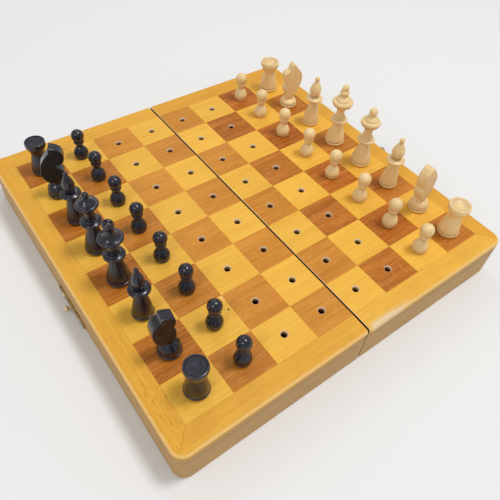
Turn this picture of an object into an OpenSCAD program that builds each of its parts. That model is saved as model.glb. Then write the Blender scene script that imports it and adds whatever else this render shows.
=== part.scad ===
// Travel chess box that folds in half, with its 32 peg-in pieces standing on the board.
// The origin is on the hinge axis, at the middle of the seam, in the plane of the open rims.
// X runs across the seam (black half at -X), Y along the hinge axis, Z up. Sizes are in millimetres.

/* [Board] */
// Length of the board along the seam
board_l = 200; // [190:1:240]
// Width of each half, from the seam to the outer wall
half_w = 100; // [96:1:120]
// Width of the border along the outer walls
outer_border = 10.3; // [8:0.1:14]
// Width of the border at the near end
near_border = 11; // [8:0.1:14]
// Width of the border at the far end
far_border = 12.4; // [8:0.1:14]
// How much narrower the column of squares beside the seam is
seam_trim = 1.1; // [0:0.1:3]
// How much shallower the row of squares at the near end is
near_trim = 3; // [0:0.1:4]
// How much shallower the row of squares at the far end is
far_trim = 2; // [0:0.1:4]
// Thickness of the squares and the border strips
tile_t = 3; // [2:0.1:4]
// Radius of the outer upright corners
corner_r = 6; // [2:0.5:6]
// Radius of the upright corners at the seam
seam_r = 1.6; // [0.4:0.1:3]

/* [Case] */
// Thickness of the walls
wall_t = 6.2; // [6:0.1:8]
// Height of the walls below the panel
wall_h = 17.5; // [16:0.5:30]
// Thickness of the panel that carries the squares
panel_t = 3.5; // [3:0.1:6]
// Gap between the two halves at the seam
seam_gap = 0.3; // [0.1:0.1:0.6]

/* [Pegs] */
// Diameter of the peg under each piece
peg_d = 3; // [2.4:0.1:3.6]
// Length of the peg
peg_l = 5; // [3.5:0.1:5]
// Clearance of a peg in its hole, on the radius
peg_clearance = 0.1; // [0.02:0.01:0.1]
// Depth left under a peg in its blind hole
peg_bottom = 0.5; // [0.2:0.1:0.8]

/* [Hinges] */
// Distance between the two hinges, centre to centre
hinge_spacing = 110; // [60:1:130]
// Length of each hinge
hinge_l = 20; // [16:1:30]
// Width of a leaf from the hinge axis
leaf_w = 5.2; // [4.6:0.1:5.4]
// Thickness of a leaf
leaf_t = 0.8; // [0.6:0.1:1]
// Outer radius of the barrel
barrel_r = 1.4; // [1.2:0.1:1.6]
// Radius of the hinge pin
hinge_pin_r = 0.6; // [0.4:0.05:0.7]
// Length of the middle knuckle
knuckle_l = 8; // [5:0.5:9]
// Radius of a hinge screw's shank
hinge_screw_r = 0.6; // [0.4:0.05:0.8]
// Radius of a hinge screw's countersunk head
hinge_screw_head_r = 1.2; // [1:0.05:1.4]
// Length of a hinge screw
hinge_screw_l = 6; // [3:0.5:8]

/* [Clasp] */
// Length of the plate that carries the ball stud
stud_plate_l = 28; // [24:1:36]
// Height of that plate
stud_plate_h = 5.6; // [5:0.1:7]
// Thickness of both clasp plates
plate_t = 0.8; // [0.6:0.1:1]
// Height of the ball stud above the rim
stud_z = 4; // [3.8:0.1:7]
// Radius of the ball
ball_r = 1.4; // [1.3:0.05:1.5]
// Distance of the ball's centre from the wall
ball_out = 3.1; // [3:0.1:3.4]
// Radius of the stud's neck
neck_r = 0.8; // [0.6:0.05:0.9]
// Distance between the two screws of the stud plate
stud_screw_spacing = 17; // [14:0.5:20]
// Length of the hasp plate on the white half
hasp_plate_l = 20; // [18:1:28]
// Height of the hasp plate above the flap's pivot
hasp_plate_h = 6.2; // [5:0.1:6.4]
// Height of the flap's pivot above the rim
hasp_z = 10; // [9:0.1:10]
// Outer radius of the flap's barrel
flap_barrel_r = 1; // [0.9:0.05:1.05]
// Radius of the flap's pin
flap_pin_r = 0.45; // [0.35:0.05:0.5]
// Distance of the flap's pivot from the wall
pivot_out = 1.9; // [1.9:0.05:2.1]
// Width of the flap at its pivot
flap_w = 8; // [7:0.5:9]
// Radius of the flap's round tip
flap_tip_r = 3.4; // [3:0.1:3.8]
// Thickness of the flap
flap_t = 0.6; // [0.5:0.1:0.7]
// How far the loose flap droops from level, in degrees
flap_droop = 14; // [0:1:30]
// Distance between the two screws of the hasp plate
hasp_screw_spacing = 14; // [13:0.5:15]
// Radius of a clasp screw's domed head
clasp_screw_head_r = 1.5; // [1.2:0.1:1.7]
// Radius of a clasp screw's shank
clasp_screw_r = 0.8; // [0.6:0.1:1]
// Length of a clasp screw's shank in the wood
clasp_screw_l = 4; // [3:0.5:5]

/* [Chess pieces] */
// Height of a king above the board
king_h = 39; // [37:0.5:42]
// Height of a queen above the board
queen_h = 37; // [35:0.5:40]
// Height of a bishop above the board
bishop_h = 32; // [30:0.5:36]
// Height of each knight above the board: black near and far, white near and far
knight_hs = [28.6, 31.4, 31.4, 29.6];
// Height of a rook above the board
rook_h = 20; // [18:0.5:24]
// Height of a pawn above the board
pawn_h = 18; // [16:0.5:20]
// Diameter of the foot of a king or queen
royal_foot_d = 11.8; // [11:0.1:13]
// Diameter of the foot of a bishop
bishop_foot_d = 10.3; // [9.6:0.1:11.4]
// Diameter of the foot of a rook
rook_foot_d = 11.4; // [10.6:0.1:12.4]
// Diameter of the foot of a knight
knight_foot_d = 11; // [10:0.1:12]
// Diameter of the foot of a pawn
pawn_foot_d = 8.2; // [7.6:0.1:8.8]
// Height of the turned foot of the larger pieces
foot_h = 2.4; // [2:0.1:3]
// Height of the turned foot of a pawn
pawn_foot_h = 1.7; // [1.4:0.1:2]
// Diameter of the collar on a king, queen or bishop
collar_d = 10.2; // [9.6:0.1:11.6]
// Diameter of each crown: black king and queen, white queen and king
crown_ds = [11.5, 10.7, 11.3, 12.2];
// Diameter of the ball on the white queen
white_queen_ball_d = 4.7; // [4:0.1:5.4]
// Diameter of the ball on the black queen
black_queen_ball_d = 3.4; // [3:0.1:4]
// Diameter of the bulb on a king
king_bulb_d = 5.4; // [4.6:0.1:6]
// Diameter of the small ball on the white king
white_king_ball_d = 4; // [3.4:0.1:4.6]
// Width of the crossing saw cuts in the top of the black king
king_cut_w = 0.9; // [0.6:0.1:1.2]
// Diameter of a bishop's mitre: black, white
mitre_ds = [6, 7];
// Diameter of the small ball on a bishop: black, white
bishop_ball_ds = [2.2, 3];
// Diameter of a pawn's head
pawn_head_d = 7; // [6:0.1:7.6]
// Diameter of a rook's head: black, white
rook_head_ds = [10.6, 11.6];
// Depth of the bowl in a rook's head
rook_bowl = 1.2; // [0.8:0.1:2]
// Thickness of a knight's sawn head
knight_t = 5.4; // [5:0.1:6.6]
// Turn of each knight in its hole, in degrees
knight_turns = [-8, -22, 4, -20];
// Outline of each knight's head, from the neck up the face to the ear and down the nape: how far
// ahead of the axis and how high each point is, in parts of the knight's height
knight_forms = [
    [
        [0.04, 0.36], [0.08, 0.44], [0.1, 0.52], [0.1, 0.63], [0.075, 0.74], [0.1, 0.78],
        [0.11, 0.87], [0.095, 0.93], [0, 0.98], [-0.09, 1], [-0.11, 0.94], [-0.19, 0.875],
        [-0.24, 0.78], [-0.25, 0.65], [-0.225, 0.52], [-0.17, 0.41], [-0.1, 0.36],
    ],
    [
        [0.05, 0.31], [0.11, 0.345], [0.165, 0.42], [0.185, 0.49], [0.155, 0.56], [0.09, 0.62],
        [0.03, 0.655], [0.11, 0.665], [0.19, 0.7], [0.225, 0.77], [0.225, 0.85], [0.205, 0.91],
        [0.155, 0.955], [0.1, 0.98], [0.04, 1], [0.01, 0.905], [-0.07, 0.815], [-0.14, 0.71],
        [-0.17, 0.6], [-0.175, 0.49], [-0.14, 0.38], [-0.07, 0.31],
    ],
    [
        [0.08, 0.275], [0.155, 0.34], [0.215, 0.45], [0.225, 0.52], [0.195, 0.58], [0.25, 0.675],
        [0.265, 0.78], [0.24, 0.885], [0.18, 0.97], [0.12, 1], [0.07, 0.94], [-0.02, 0.83],
        [-0.09, 0.7], [-0.1, 0.6], [-0.09, 0.48], [-0.07, 0.35], [-0.06, 0.275],
    ],
    [
        [0.06, 0.23], [0.11, 0.3], [0.145, 0.41], [0.135, 0.475], [0.095, 0.525], [0.15, 0.61],
        [0.17, 0.7], [0.155, 0.79], [0.06, 0.86], [0.02, 0.98], [-0.02, 1], [-0.1, 0.91],
        [-0.19, 0.8], [-0.215, 0.66], [-0.19, 0.53], [-0.15, 0.41], [-0.09, 0.29], [-0.06, 0.23],
    ],
];

/* [Hidden] */

$fn = 64;
eps = 0.01;

// Board levels and grid lines; the black half is drawn, and the white half is its mirror image
top_z = wall_h + panel_t + tile_t;
tile_z = wall_h + panel_t;
seam_x = seam_gap / 2;
columns = 4;
rows = 8;
back_column = columns - 1;
pawn_column = columns - 2;
column_pitch = (half_w - outer_border + seam_trim) / columns;
row_pitch = (board_l - near_border - far_border + near_trim + far_trim) / rows;
function column_x(k) = k == 0 ? seam_x : k * column_pitch - seam_trim;
function row_y(j) =
    j == 0 ? near_border - board_l / 2
    : j == rows ? board_l / 2 - far_border
    : near_border - board_l / 2 + j * row_pitch - near_trim;
function column_mid(k) = (column_x(k) + column_x(k + 1)) / 2;
function row_mid(j) = (row_y(j) + row_y(j + 1)) / 2;
field_x = column_x(columns);
hole_r = peg_d / 2 + peg_clearance;
hole_depth = peg_l + peg_bottom;

// Running clearances of the two small hinges
pin_clearance = 0.05;
knuckle_gap = 0.1;
leaf_clearance = 0.25;
screw_leaf_x = (barrel_r + leaf_w) / 2;
screw_leaf_y = (knuckle_l + hinge_l) / 4;

// Clasp: the flap's dome is centred on the ball when the box is closed and latched
dome_in_r = ball_r + 0.1;
dome_out_r = dome_in_r + flap_t;
dome_reach = hasp_z + stud_z;
dome_lift = ball_out - pivot_out;
flap_lift = flap_barrel_r - flap_t;
flap_knuckle_l = flap_w / 2;
stud_collar_r = 1.5;
stud_collar_h = 0.4;
stud_tail = 3;
plate_round = 1.5;
dome_head_h = 0.8;
dome_head_ball = (pow(clasp_screw_head_r, 2) + pow(dome_head_h, 2)) / (2 * dome_head_h);
hasp_screw_z = hasp_z + (flap_barrel_r + hasp_plate_h) / 2;
clasp_hole_ys = [-stud_screw_spacing / 2, 0, stud_screw_spacing / 2];
stud_hole_rs = [clasp_screw_r, neck_r, clasp_screw_r];
stud_hole_ls = [clasp_screw_l, stud_tail, clasp_screw_l];
hasp_hole_ys = [-hasp_screw_spacing / 2, hasp_screw_spacing / 2];

// Turned shapes
sweep_steps = 10;
foot_edge_h = 0.7;
foot_tuck = 0.7;
foot_step = 0.4;
officer_waist_r = 2.3;
flare_h = 1.2;
collar_bead_h = 2.2;
step_h = 1.1;
thin_crown_h = 1.8;
thick_crown_h = 3;
thin_crown_bend = 0.9;
thick_crown_bend = 1.9;
crown_neck_r = 2.4;
crown_neck_h = 2.4;
crown_flare_h = 4;
crown_dome_h = 3.6;

wall_colour = [0.80, 0.62, 0.40];
panel_colour = [0.84, 0.66, 0.40];
honey_colour = [0.91, 0.68, 0.27];
brown_colour = [0.72, 0.42, 0.16];
brass_colour = [0.78, 0.65, 0.38];
black_colour = [0.09, 0.08, 0.09];
white_colour = [0.87, 0.74, 0.53];

// Half of the case

// Plan of one half, with wide round corners outside and small ones at the seam
module half_plan() {
    y = board_l / 2;
    translate([-half_w + corner_r, -y])
        square([half_w - corner_r - seam_x - seam_r, board_l]);
    translate([-half_w, -y + corner_r])
        square([corner_r, board_l - 2 * corner_r]);
    translate([-seam_x - seam_r, -y + seam_r])
        square([seam_r, board_l - 2 * seam_r]);
    for (s = [-1, 1]) {
        translate([-half_w + corner_r, s * (y - corner_r)])
            circle(corner_r);
        translate([-seam_x - seam_r, s * (y - seam_r)])
            circle(seam_r);
    }
}

// Stretch of the walls between two values of x, cut out of the plan
module wall_strip(x0, x1) {
    linear_extrude(wall_h)
        intersection() {
            half_plan();
            translate([x0, -board_l / 2])
                square([x1 - x0, board_l]);
        }
}

module outer_wall(hole_ys, hole_zs, hole_rs, hole_ls) {
    color(wall_colour)
        difference() {
            wall_strip(-half_w, -half_w + wall_t);
            for (i = [0:1:len(hole_ys) - 1])
                translate([-half_w, hole_ys[i], hole_zs[i]])
                    rotate([0, 90, 0])
                        translate([0, 0, -eps])
                            cylinder(r = hole_rs[i], h = hole_ls[i] + eps);
        }
}

// Inner wall with the pockets for the hinge leaves, the barrels' groove and the screw holes
module inner_wall() {
    color(wall_colour)
        difference() {
            wall_strip(-wall_t - seam_x, -seam_x);
            for (s = [-1, 1])
                translate([0, s * hinge_spacing / 2, 0]) {
                    translate([-leaf_w, -hinge_l / 2, -eps])
                        cube([leaf_w + eps, hinge_l, leaf_t + eps]);
                    translate([0, -hinge_l / 2 - leaf_clearance, 0])
                        rotate([-90, 0, 0])
                            cylinder(r = barrel_r + leaf_clearance, h = hinge_l + 2 * leaf_clearance);
                    for (t = [-1, 1])
                        translate([-screw_leaf_x, t * screw_leaf_y, 0])
                            cylinder(r = hinge_screw_r, h = hinge_screw_l);
                }
        }
}

module end_wall(side) {
    color(wall_colour)
        translate([-half_w + wall_t, side < 0 ? -board_l / 2 : board_l / 2 - wall_t, 0])
            cube([half_w - 2 * wall_t - seam_x, wall_t, wall_h]);
}

module all_holes() {
    for (k = [0:columns - 1], j = [0:rows - 1])
        translate([-column_mid(k), row_mid(j), top_z - hole_depth])
            cylinder(r = hole_r, h = hole_depth);
}

module panel() {
    color(panel_colour)
        difference() {
            translate([0, 0, wall_h])
                linear_extrude(panel_t)
                    half_plan();
            all_holes();
        }
}

// Three border strips with mitred corners
module border() {
    y = board_l / 2;
    corner_near = [-field_x, row_y(0)];
    corner_far = [-field_x, row_y(rows)];
    strips = [
        [[-half_w, -y], corner_near, corner_far, [-half_w, y]],
        [[-half_w, -y], [-seam_x, -y], [-seam_x, row_y(0)], corner_near],
        [[-half_w, y], corner_far, [-seam_x, row_y(rows)], [-seam_x, y]],
    ];
    color(honey_colour)
        for (strip = strips)
            translate([0, 0, tile_z])
                linear_extrude(tile_t)
                    intersection() {
                        half_plan();
                        polygon(strip);
                    }
}

// Every second square, starting at the seam column of the near row when parity is 0
module squares(parity, colour) {
    color(colour)
        for (k = [0:columns - 1], j = [0:rows - 1])
            if ((k + j) % 2 == parity)
                difference() {
                    translate([-column_x(k + 1), row_y(j), tile_z])
                        cube([column_x(k + 1) - column_x(k), row_y(j + 1) - row_y(j), tile_t]);
                    translate([-column_mid(k), row_mid(j), tile_z - eps])
                        cylinder(r = hole_r, h = tile_t + 2 * eps);
                }
}

// Hinges of the board

// Lies along Y from y0 to y1, centred on the hinge axis
module along_y(r, y0, y1) {
    translate([0, y0, 0])
        rotate([-90, 0, 0])
            cylinder(r = r, h = y1 - y0);
}

// The black leaf carries the two end knuckles, the white leaf the middle one
module hinge_leaf(middle) {
    inner = knuckle_l / 2 + (middle ? -knuckle_gap : knuckle_gap) / 2;
    own = middle ? [[-inner, inner]] : [[-hinge_l / 2, -inner], [inner, hinge_l / 2]];
    root_x = barrel_r + leaf_clearance;
    difference() {
        union() {
            translate([-leaf_w, -hinge_l / 2, 0])
                cube([leaf_w - root_x, hinge_l, leaf_t]);
            for (span = own) {
                translate([-root_x - eps, span[0], 0])
                    cube([root_x - hinge_pin_r, span[1] - span[0], leaf_t]);
                along_y(barrel_r, span[0], span[1]);
            }
        }
        along_y(hinge_pin_r + (middle ? pin_clearance : 0), -hinge_l, hinge_l);
        for (t = [-1, 1])
            translate([-screw_leaf_x, t * screw_leaf_y, 0])
                hinge_screw();
    }
}

module hinge_screw() {
    cylinder(r1 = hinge_screw_head_r, r2 = hinge_screw_r, h = leaf_t);
    cylinder(r = hinge_screw_r, h = hinge_screw_l);
}

module at_hinges() {
    for (s = [-1, 1])
        translate([0, s * hinge_spacing / 2, 0])
            children();
}

module hinge_leaves(middle) {
    color(brass_colour)
        at_hinges()
            hinge_leaf(middle);
}

module hinge_pins() {
    color(brass_colour)
        at_hinges()
            along_y(hinge_pin_r, -hinge_l / 2, hinge_l / 2);
}

module hinge_screws() {
    color(brass_colour)
        at_hinges()
            for (t = [-1, 1])
                translate([-screw_leaf_x, t * screw_leaf_y, 0])
                    hinge_screw();
}

// Clasp, drawn on a wall whose outer face is the plane x = 0 with the outside at +X

module rounded_plate(y0, z0, length, height, thick) {
    r = plate_round;
    translate([0, y0, z0])
        rotate([90, 0, 90])
            linear_extrude(thick) {
                translate([r, 0])
                    square([length - 2 * r, height]);
                translate([0, r])
                    square([length, height - 2 * r]);
                for (u = [r, length - r], v = [r, height - r])
                    translate([u, v])
                        circle(r);
            }
}

module clasp_screw() {
    rotate([0, 90, 0]) {
        translate([0, 0, -clasp_screw_l])
            cylinder(r = clasp_screw_r, h = clasp_screw_l + plate_t);
        translate([0, 0, plate_t])
            intersection() {
                translate([0, 0, dome_head_h - dome_head_ball])
                    sphere(dome_head_ball);
                cylinder(r = clasp_screw_head_r, h = dome_head_h);
            }
    }
}

module screw_hole(r) {
    rotate([0, 90, 0])
        translate([0, 0, -eps])
            cylinder(r = r, h = plate_t + 2 * eps);
}

module stud_plate() {
    color(brass_colour)
        difference() {
            rounded_plate(-stud_plate_l / 2, stud_z - stud_plate_h / 2, stud_plate_l, stud_plate_h,
                plate_t);
            for (s = [-1, 1])
                translate([0, s * stud_screw_spacing / 2, stud_z])
                    screw_hole(clasp_screw_r);
            translate([0, 0, stud_z])
                screw_hole(neck_r);
        }
}

module ball_stud() {
    color(brass_colour)
        translate([0, 0, stud_z])
            rotate([0, 90, 0]) {
                translate([0, 0, -stud_tail])
                    cylinder(r = neck_r, h = stud_tail + ball_out);
                translate([0, 0, plate_t])
                    cylinder(r = stud_collar_r, h = stud_collar_h);
                translate([0, 0, ball_out])
                    sphere(ball_r);
            }
}

module stud_screws() {
    color(brass_colour)
        for (s = [-1, 1])
            translate([0, s * stud_screw_spacing / 2, stud_z])
                clasp_screw();
}

// Plate with the two end knuckles of the flap's hinge
module hasp_plate() {
    inner = (flap_knuckle_l + knuckle_gap) / 2;
    outer = flap_w / 2;
    color(brass_colour)
        difference() {
            union() {
                rounded_plate(-hasp_plate_l / 2, hasp_z - flap_barrel_r, hasp_plate_l,
                    hasp_plate_h + flap_barrel_r, plate_t);
                for (s = [-1, 1]) {
                    y0 = s < 0 ? -outer : inner;
                    translate([0, y0, hasp_z])
                        cube([pivot_out, outer - inner, flap_barrel_r]);
                    translate([pivot_out, 0, hasp_z])
                        along_y(flap_barrel_r, y0, y0 + outer - inner);
                }
            }
            translate([pivot_out, 0, hasp_z])
                along_y(flap_pin_r, -outer - eps, outer + eps);
            for (s = [-1, 1])
                translate([0, s * hasp_screw_spacing / 2, hasp_screw_z])
                    screw_hole(clasp_screw_r);
        }
}

module hasp_pin() {
    color(brass_colour)
        translate([pivot_out, 0, hasp_z])
            along_y(flap_pin_r, -flap_w / 2, flap_w / 2);
}

module hasp_screws() {
    color(brass_colour)
        for (s = [-1, 1])
            translate([0, s * hasp_screw_spacing / 2, hasp_screw_z])
                clasp_screw();
}

// Flap at rest, drooping from the wall, with its hollow dome rising from it
module hasp_flap() {
    root = flap_barrel_r + leaf_clearance;
    knuckle = (flap_knuckle_l - knuckle_gap) / 2;
    color(brass_colour)
        translate([pivot_out, 0, hasp_z])
            rotate([0, flap_droop, 0])
                difference() {
                    union() {
                        translate([0, 0, flap_lift])
                            linear_extrude(flap_t) {
                                polygon([
                                    [root, -flap_w / 2], [root, flap_w / 2],
                                    [dome_reach, flap_tip_r], [dome_reach, -flap_tip_r],
                                ]);
                                translate([dome_reach, 0])
                                    circle(flap_tip_r);
                                translate([0, -knuckle])
                                    square([root + eps, 2 * knuckle]);
                            }
                        along_y(flap_barrel_r, -knuckle, knuckle);
                        intersection() {
                            translate([dome_reach, 0, dome_lift])
                                sphere(dome_out_r);
                            translate([dome_reach, 0, flap_lift])
                                cylinder(r = dome_out_r, h = 2 * dome_out_r);
                        }
                    }
                    translate([dome_reach, 0, dome_lift])
                        sphere(dome_in_r);
                    along_y(flap_pin_r + pin_clearance, -flap_w, flap_w);
                }
}

// Places clasp parts on the outer wall of the black half, turned to face outwards
module on_black_wall() {
    translate([-half_w, 0, 0])
        mirror([1, 0, 0])
            children();
}

module on_white_wall() {
    translate([half_w, 0, 0])
        children();
}

// Chess pieces, each turned about Z on the plane z = 0 with its peg below

module disc(r, z0, z1) {
    translate([0, z0])
        square([r, z1 - z0]);
}

// Disc with a half-round edge
module bead(r, z0, h) {
    disc(r - h / 2, z0, z0 + h);
    intersection() {
        translate([r - h / 2, z0 + h / 2])
            circle(d = h);
        disc(r, z0, z0 + h);
    }
}

module half_ball(r, z) {
    intersection() {
        translate([0, z])
            circle(r);
        translate([0, z - r])
            square([r, 2 * r]);
    }
}

// Curved side from (r0, z0) to (r1, z1); it bulges at its lower end as full rises over 1,
// and is hollow at its upper end as hollow does
module sweep(r0, z0, r1, z1, full, hollow = 1) {
    side = [
        for (i = [0:sweep_steps])
            let (t = i / sweep_steps)
                [r0 + (r1 - r0) * (1 - pow(1 - pow(t, full), hollow)), z0 + (z1 - z0) * t]
    ];
    polygon(concat([[0, z0]], side, [[0, z1]]));
}

module turned() {
    rotate_extrude()
        children();
}

// Foot that draws in towards the board under a rounded edge, and the peg below it
module foot(r, h) {
    disc(peg_d / 2, -peg_l, h);
    sweep(r - foot_tuck, 0, r, h - foot_edge_h / 2, 0.6);
    bead(r, h - foot_edge_h, foot_edge_h);
}

// The head sits in a round cup on a thin neck
module pawn() {
    r = pawn_foot_d / 2;
    head_r = pawn_head_d / 2;
    head_z = pawn_h - head_r;
    cup_r = head_r * 0.83;
    cup_h = 3.4;
    cup_z = head_z - head_r * 0.77 - cup_h;
    neck_r = 1.5;
    neck_h = 0.8;
    turned() {
        foot(r, pawn_foot_h);
        sweep(r - foot_step / 2, pawn_foot_h, neck_r, cup_z - neck_h, 2.6);
        disc(neck_r, cup_z - neck_h, cup_z + cup_h);
        bead(cup_r, cup_z, cup_h);
        half_ball(head_r, head_z);
    }
}

module rook(head_d) {
    r = rook_foot_d / 2;
    head_r = head_d / 2;
    rim_h = 3.4;
    flare = 3.4;
    waist = 3.5;
    lip = 0.9;
    bowl_r = head_r - lip;
    bowl_ball = (bowl_r * bowl_r + rook_bowl * rook_bowl) / (2 * rook_bowl);
    turned()
        difference() {
            union() {
                foot(r, foot_h);
                sweep(r - foot_step / 2, foot_h, waist, rook_h - rim_h - flare, 1.5, 1.5);
                sweep(waist, rook_h - rim_h - flare, head_r - foot_step, rook_h - rim_h, 0.9);
                bead(head_r, rook_h - rim_h, rim_h / 2);
                disc(head_r - foot_step / 2, rook_h - rim_h, rook_h);
            }
            half_ball(bowl_ball, rook_h - rook_bowl + bowl_ball);
        }
}

// Collar with a flare under it; its top is at z0 + flare_h + collar_bead_h
module collar(z0) {
    sweep(officer_waist_r, z0, collar_d / 2 - foot_step, z0 + flare_h, 1.4);
    bead(collar_d / 2, z0 + flare_h - foot_step, collar_bead_h + foot_step);
}

// The egg-shaped mitre stands on a short cup above the collar
module bishop(mitre_d, ball_d) {
    r = bishop_foot_d / 2;
    ball = ball_d / 2;
    point_h = 6.2;
    swell_h = 2.6;
    cup_h = 1.2;
    cup_r = 2.4;
    mitre_z = bishop_h - 2 * ball - point_h;
    cup_z = mitre_z - swell_h - cup_h;
    collar_z = cup_z - flare_h - collar_bead_h;
    turned() {
        foot(r, foot_h);
        sweep(r - foot_step / 2, foot_h, officer_waist_r, collar_z, 1.4, 1.2);
        collar(collar_z);
        sweep(officer_waist_r - foot_step, cup_z, cup_r, cup_z + cup_h, 0.9);
        sweep(cup_r, cup_z + cup_h, mitre_d / 2, mitre_z, 0.6);
        sweep(mitre_d / 2, mitre_z, ball * 0.6, bishop_h - 2 * ball + ball / 2, 1.8);
        half_ball(ball, bishop_h - ball);
    }
}

// Body, collar and crown that a king and a queen share; the crown's edge is edge_h high,
// its dome bulges as bend rises over 1, and its top is at z1
module royal_body(z1, crown_r, edge_h, bend) {
    r = royal_foot_d / 2;
    edge_z = z1 - crown_dome_h - edge_h + foot_step;
    neck_z = edge_z - crown_flare_h;
    step_z = neck_z - crown_neck_h;
    collar_z = step_z - 2 * step_h - flare_h - collar_bead_h;
    foot(r, foot_h);
    sweep(r - foot_step / 2, foot_h, officer_waist_r, collar_z, 1.4, 1.2);
    collar(collar_z);
    bead(officer_waist_r + step_h + foot_step, step_z - 2 * step_h, step_h);
    bead(officer_waist_r + foot_step, step_z - step_h, step_h);
    sweep(officer_waist_r, step_z, crown_neck_r, neck_z, 0.6);
    sweep(crown_neck_r, neck_z, crown_r - foot_step, edge_z + foot_step, 2.2);
    bead(crown_r, edge_z, edge_h);
    sweep(crown_r - foot_step, z1 - crown_dome_h, crown_neck_r / 2, z1, bend);
}

module queen(ball_d, crown_r, edge_h, bend) {
    ball = ball_d / 2;
    turned() {
        royal_body(queen_h - 2 * ball + foot_step, crown_r, edge_h, bend);
        half_ball(ball, queen_h - ball);
    }
}

module white_king() {
    ball = white_king_ball_d / 2;
    bulb_h = 3.4;
    bulb_z = king_h - 2 * ball - bulb_h + foot_step;
    turned() {
        royal_body(bulb_z + foot_step, crown_ds[3] / 2, thick_crown_h, thick_crown_bend);
        bead(king_bulb_d / 2, bulb_z, bulb_h);
        half_ball(ball, king_h - ball);
    }
}

// The top has a stem and a bulb with two crossing saw cuts
module black_king() {
    bulb_h = 4.4;
    stem_h = 2;
    stem_r = king_bulb_d * 0.4;
    bulb_z = king_h - bulb_h;
    difference() {
        turned() {
            royal_body(bulb_z - stem_h + foot_step, crown_ds[0] / 2, thin_crown_h, thin_crown_bend);
            disc(stem_r, bulb_z - stem_h, bulb_z + bulb_h / 2);
            bead(king_bulb_d / 2, bulb_z, bulb_h);
        }
        for (a = [45, 135])
            translate([0, 0, king_h])
                rotate([0, 0, a])
                    cube([king_bulb_d, king_cut_w, 2 * king_cut_w], center = true);
    }
}

// Domed turned base with a short neck, and a flat sawn head of the i-th form; it looks along +X
module knight(i) {
    r = knight_foot_d / 2;
    h = knight_hs[i];
    neck_r = knight_t / 2 - foot_step;
    neck_h = 1.4;
    neck_z = knight_forms[i][0][1] * h;
    turned() {
        foot(r, foot_h);
        sweep(r - foot_step / 2, foot_h, neck_r, neck_z - neck_h, 2.8);
        disc(neck_r, neck_z - neck_h, neck_z + eps);
    }
    translate([0, knight_t / 2, 0])
        rotate([90, 0, 0])
            linear_extrude(knight_t)
                polygon(knight_forms[i] * h);
}

// Stands a piece on its square; the white pieces are turned to face the black ones
module on_square(side, column, j, turn) {
    translate([side * column_mid(column), row_mid(j), top_z])
        rotate([0, 0, turn + (side > 0 ? 180 : 0)])
            children();
}

module black(column, j, turn = 0) {
    color(black_colour)
        on_square(-1, column, j, turn)
            children();
}

module white(column, j, turn = 0) {
    color(white_colour)
        on_square(1, column, j, turn)
            children();
}

module white_half() {
    mirror([1, 0, 0])
        children();
}

outer_wall(clasp_hole_ys, [stud_z, stud_z, stud_z], stud_hole_rs, stud_hole_ls);  // black_half_outer_wall
inner_wall();  // black_half_inner_wall
end_wall(-1);  // black_half_near_wall
end_wall(1);  // black_half_far_wall
panel();  // black_half_panel
border();  // black_half_border
squares(0, brown_colour);  // black_half_dark_squares
squares(1, honey_colour);  // black_half_light_squares

white_half()  // white_half_outer_wall
        outer_wall(hasp_hole_ys, [hasp_screw_z, hasp_screw_z],
            [clasp_screw_r, clasp_screw_r], [clasp_screw_l, clasp_screw_l]);
white_half() inner_wall();  // white_half_inner_wall
white_half() end_wall(-1);  // white_half_near_wall
white_half() end_wall(1);  // white_half_far_wall
white_half() panel();  // white_half_panel
white_half() border();  // white_half_border
white_half() squares(1, brown_colour);  // white_half_dark_squares
white_half() squares(0, honey_colour);  // white_half_light_squares

hinge_leaves(false);  // black_half_hinge_leaves
white_half() hinge_leaves(true);  // white_half_hinge_leaves
hinge_pins();
hinge_screws();  // black_half_hinge_screws
white_half() hinge_screws();  // white_half_hinge_screws

on_black_wall() stud_plate();
on_black_wall() ball_stud();
on_black_wall() stud_screws();
on_white_wall() hasp_plate();
on_white_wall() hasp_flap();
on_white_wall() hasp_pin();
on_white_wall() hasp_screws();

black(back_column, 0) rook(rook_head_ds[0]);  // black_rook_near
black(back_column, 1, knight_turns[0]) knight(0);  // black_knight_near
black(back_column, 2) bishop(mitre_ds[0], bishop_ball_ds[0]);  // black_bishop_near
black(back_column, 3) black_king();
black(back_column, 4) queen(black_queen_ball_d, crown_ds[1] / 2, thin_crown_h, thin_crown_bend);  // black_queen
black(back_column, 5) bishop(mitre_ds[0], bishop_ball_ds[0]);  // black_bishop_far
black(back_column, 6, knight_turns[1]) knight(1);  // black_knight_far
black(back_column, 7) rook(rook_head_ds[0]);  // black_rook_far
for (j = [0:rows - 1])
    black(pawn_column, j) pawn();

white(back_column, 0) rook(rook_head_ds[1]);  // white_rook_near
white(back_column, 1, knight_turns[2]) knight(2);  // white_knight_near
white(back_column, 2) bishop(mitre_ds[1], bishop_ball_ds[1]);  // white_bishop_near
white(back_column, 3) queen(white_queen_ball_d, crown_ds[2] / 2, thick_crown_h, thick_crown_bend);  // white_queen
white(back_column, 4) white_king();
white(back_column, 5) bishop(mitre_ds[1], bishop_ball_ds[1]);  // white_bishop_far
white(back_column, 6, knight_turns[3]) knight(3);  // white_knight_far
white(back_column, 7) rook(rook_head_ds[1]);  // white_rook_far
for (j = [0:rows - 1])
    white(pawn_column, j) pawn();
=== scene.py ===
"""Looks of a folding travel chess box with its 32 peg-in pieces.

Lengths are in millimetres in the frame of the CAD part and are scaled to metres when a mesh is made.
The near edge of the board is at -Y, the black half at -X and the white half at +X.
"""

import math
import random

import bpy
from mathutils import Matrix, Vector


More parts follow.
